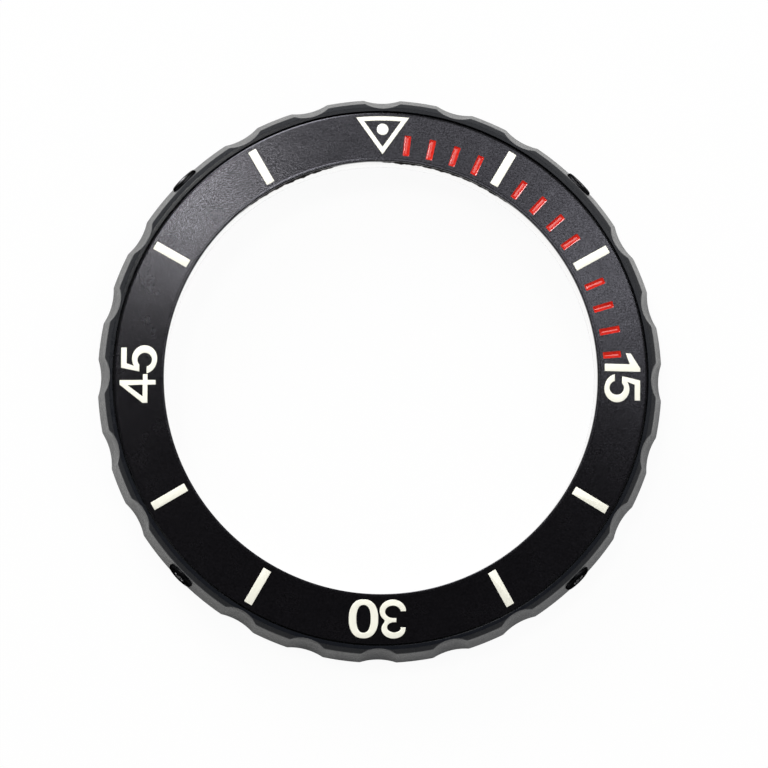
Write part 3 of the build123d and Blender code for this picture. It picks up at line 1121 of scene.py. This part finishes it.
# Triangle and dot: the sign at sixty minutes, a hollow triangle of the white paint, and in it a
# round well filled with pale luminous paste under a clear dome.
triangle_outer = insert_outer_radius - 0.26 * mm
triangle_tip = insert_bore_radius + 0.45 * mm
triangle_half = 1.91 * mm
triangle_stroke = 0.32 * mm
triangle_bends = 24
triangle_side_steps = 8
dot_radius = 0.425 * mm
dot_middle = insert_outer_radius - 1.23 * mm
dot_sides = 64
dome_foot = 0.2 * white_rise
dome_height = 0.06 * mm
dome_power = 0.7
dome_steps = 6
paste_shade = (0.95, 0.95, 0.9)
paste_middle = (0.92, 0.93, 0.84)
paste_cloud = 0.35 * mm
paste_grain = 0.1 * mm
paste_depth = 0.001 * mm


def laid(mesh, lift=0.0):
    """Moves each point of a flat mesh up to the insert's face there, and by a lift."""
    for vertex in mesh.vertices:
        vertex.co.z += face_height(hypot(vertex.co.x, vertex.co.y)) + lift
    return mesh


def drawn(name, loops, rise, depth):
    """A drawing from closed loops, with rolled edges, laid to a rise above the sloped face."""
    curve = bpy.data.curves.new(name, "CURVE")
    curve.dimensions = "2D"
    curve.fill_mode = "BOTH"
    curve.bevel_depth = white_roll
    curve.bevel_resolution = 2
    curve.offset = -white_roll
    curve.extrude = depth / 2
    for loop in loops:
        spline = curve.splines.new("POLY")
        spline.points.add(len(loop) - 1)
        for point, (x, y) in zip(spline.points, loop):
            point.co = (x, y, 0, 1)
        spline.use_cyclic_u = True
    mesh = evaluated(new_object(name, curve), name)
    return laid(mesh, rise - max(vertex.co.z for vertex in mesh.vertices))


def triangle_loop(inset):
    """The triangle's outline at an inset: a side curved like the rim and two straight sides."""
    corner_height = sqrt(triangle_outer**2 - triangle_half**2)
    along = Vector((triangle_half, corner_height - triangle_tip)).normalized()
    tip = Vector((0, triangle_tip + inset / along.x))
    radius = triangle_outer - inset
    # Where the right side, from the tip along its direction, meets the curved side
    reach = -tip.y * along.y + sqrt((tip.y * along.y) ** 2 - tip.y**2 + radius**2)
    right = tip + along * reach
    left = Vector((-right.x, right.y))
    half_angle = atan2(right.x, right.y)
    loop = []
    for bend in range(triangle_bends + 1):
        angle = half_angle * (1 - 2 * bend / triangle_bends)
        loop.append((radius * sin(angle), radius * cos(angle)))
    shares = [step / triangle_side_steps for step in range(1, triangle_side_steps)]
    loop += [left.lerp(tip, share) for share in shares] + [tip]
    return loop + [tip.lerp(right, share) for share in shares]


triangle_loops = [triangle_loop(0), triangle_loop(triangle_stroke)]
triangle = drawn("white_triangle", triangle_loops, white_rise, inlay_depth)
placed(finished(triangle, white), "bezel", "white_paint", "zero_triangle")

paste, shader = coat("luminous_paste_fill", paste_shade, 0.3, coat_weight=0.6, coat_roughness=0.1)
tint(shader, grain(shader, paste_cloud, 3.0), paste_shade, paste_middle)
roughen(shader, grain(shader, paste_grain), paste_depth)
dome_section = [(0, -inlay_depth), (dot_radius, -inlay_depth), (dot_radius, dome_foot)]
for step in range(1, dome_steps + 1):
    angle = pi / 2 * step / dome_steps
    height = dome_foot + dome_height * sin(angle) ** dome_power
    dome_section.append((dot_radius * cos(angle), height))
dome = turned_mesh("white_dot", dome_section, dot_sides)
dome.transform(Matrix.Translation((0, dot_middle, 0)))
placed(finished(laid(dome), paste), "bezel", "luminous_dot", "zero_dot")


# Numerals 15, 30 and 45: the same white paint as the bars, printed thick in a plain upright
# face, their tops towards the rim. Each is drawn flat, then laid on the slope at its hour.
numeral_rise = 0.03 * mm
numeral_depth = 0.08 * mm
arc_steps = 28
# The figures' loops, in millimetres from the dial's middle, as they stand at twelve o'clock
left_one = [
    (-0.55, 16.01), (-0.55, 18.6), (-0.79, 18.6), (-1.86, 17.9),
    (-1.86, 17.53), (-1.08, 17.83), (-1.08, 16.01),
]
left_four = [
    (-0.35, 16.09), (-0.35, 16.67), (0.07, 16.67), (0.07, 17.01), (-0.35, 17.01), (-0.35, 18.68),
    (-0.68, 18.68), (-1.99, 17.03), (-1.99, 16.67), (-0.69, 16.67), (-0.69, 16.09),
]
left_four_eye = [(-0.69, 17.02), (-1.53, 17.02), (-0.72, 18.1)]
four_and_five_gap = 0.467


def arc(centre, semi, start, stop, steps=arc_steps, power=1.0):
    """Points of an ellipse's arc between two angles in degrees; a power under 1 squares it."""
    points = []
    for step in range(steps + 1):
        angle = radians(start + (stop - start) * step / steps)
        x, y = cos(angle), sin(angle)
        x = abs(x) ** power * (1 if x >= 0 else -1)
        y = abs(y) ** power * (1 if y >= 0 else -1)
        points.append((centre[0] + semi[0] * x, centre[1] + semi[1] * y))
    return points


right_five = [
    (1.52, 18.59), (0.07, 18.59), (-0.21, 17.27), (0.29, 17.27),
    *arc((0.63, 16.89), (0.5, 0.52), 133, -164)[1:],
    (-0.35, 16.75),
    *arc((0.72, 16.9), (1.07, 0.91), 189.5, 270)[1:-1],
    *arc((0.72, 16.9), (0.95, 0.91), 270, 484),
    (0.39, 18.19), (1.52, 18.19),
]
left_three = [
    (-1.91, 17.87),
    *arc((-1.03, 17.98), (0.86, 0.69), 189, -38)[1:],
    (-0.4, 17.39),
    *arc((-0.97, 16.72), (0.94, 0.82), 50, -180),
    (-1.53, 16.73),
    *arc((-0.97, 16.77), (0.55, 0.44), 184, 450)[1:],
    (-1.23, 17.21), (-1.23, 17.5),
    *arc((-1.07, 17.87), (0.5, 0.36), 270, 540)[:-2],
    (-1.53, 17.87),
]
right_nought = arc((1.117, 17.285), (1.05, 1.385), 0, 360, 2 * arc_steps, 0.86)[:-1]
right_nought_eye = arc((1.117, 17.285), (0.51, 0.985), 0, 360, 2 * arc_steps, 0.84)[:-1]

shifted_five = [(x + four_and_five_gap, y) for x, y in right_five]
numeral_loops = {
    90: [left_one, right_five],
    180: [left_three, right_nought, right_nought_eye],
    270: [left_four, left_four_eye, shifted_five],
}
joined = bmesh.new()
for hour_angle, figures in numeral_loops.items():
    loops = [[(x * mm, y * mm) for x, y in loop] for loop in figures]
    numeral = drawn("numeral", loops, numeral_rise, numeral_depth)
    numeral.transform(Matrix.Rotation(-radians(hour_angle), 4, "Z"))
    joined.from_mesh(numeral)
numeral_mesh = bpy.data.meshes.new("white_numerals")
joined.to_mesh(numeral_mesh)
joined.free()
placed(finished(numeral_mesh, white), "bezel", "white_paint")


# Side screws: four hexagon-socket screws with flat round heads, black coated, one on each
# diagonal. Each is let into its seat in the flank, and its point reaches the seat ring's groove.
head_roll = 0.12 * mm
roll_near, roll_far = 0.13 * head_roll, 0.5 * head_roll
shank_radius = 0.5 * mm
shank_end = 1.84 * mm
point_radius = 0.3 * mm
point_end = 2.3 * mm
point_break = 0.2 * point_radius
socket_half = 0.35 * mm
socket_depth = 0.3 * mm
socket_bevel = 0.05 * mm
socket_cone = 0.4 * socket_half
screw_black = (0.022, 0.022, 0.024)
screw_edge_tint = (0.02, 0.02, 0.02, 1)
screw_worn = (0.6, 0.6, 0.62)
wear_pitch = 0.25 * mm
screw_grain = 0.05 * mm
screw_depth = 0.0006 * mm
hexagon_rows = range(12, 15)
rubbed_rows = (12, 13)
screw_section = [
    (0, -point_end),
    (point_radius - point_break, -point_end),
    (point_radius, -point_end + point_break),
    (point_radius, -shank_end),
    (shank_radius, -shank_end),
    (shank_radius, -head_sink),
    (head_radius, -head_sink),
    (head_radius, head_rise - head_roll),
    (head_radius - roll_near, head_rise - roll_far),
    (head_radius - roll_far, head_rise - roll_near),
    (head_radius - head_roll, head_rise),
    (socket_half + socket_bevel * 2, head_rise),
    (socket_half + socket_bevel, head_rise),
    (socket_half, head_rise - socket_bevel),
    (socket_half, head_rise - socket_depth),
    (0, head_rise - socket_depth - socket_cone),
]


def screw_shape(radius, clock, row):
    """The screw's radius round its axis: the socket's rows follow a hexagon's sides."""
    if row in hexagon_rows:
        return radius / cos((clock + pi / 6) % (pi / 3) - pi / 6)
    return radius


blackened, shader = coat(
    "blackened_screw_steel", screw_black, 0.4, metallic=1.0, specular_tint=screw_edge_tint
)
tree = shader.id_data
wear = spread(grain(shader, wear_pitch, 3.0))
rubbed = tree.nodes.new("ShaderNodeAttribute")
rubbed.attribute_name = "rubbed"
bare = Term(rubbed.outputs["Fac"]) * Term(wear)
tint(shader, bare.socket, screw_black, screw_worn)
vary(shader, "Roughness", wear, 0.34, 0.46)
roughen(shader, grain(shader, screw_grain, 1.0), screw_depth)

screw = turned_mesh("screw", screw_section, screw_sides, screw_shape)
point_rows = [point % len(screw_section) for point in range(len(screw.vertices))]
mark_points(screw, "rubbed", [float(row in rubbed_rows) for row in point_rows])
screws = set_round("side_screws", screw, screw_sizes, blackened, screw_layout)
placed(screws, "bezel", "blackened_screw", *nodes_of("side_screw_"))
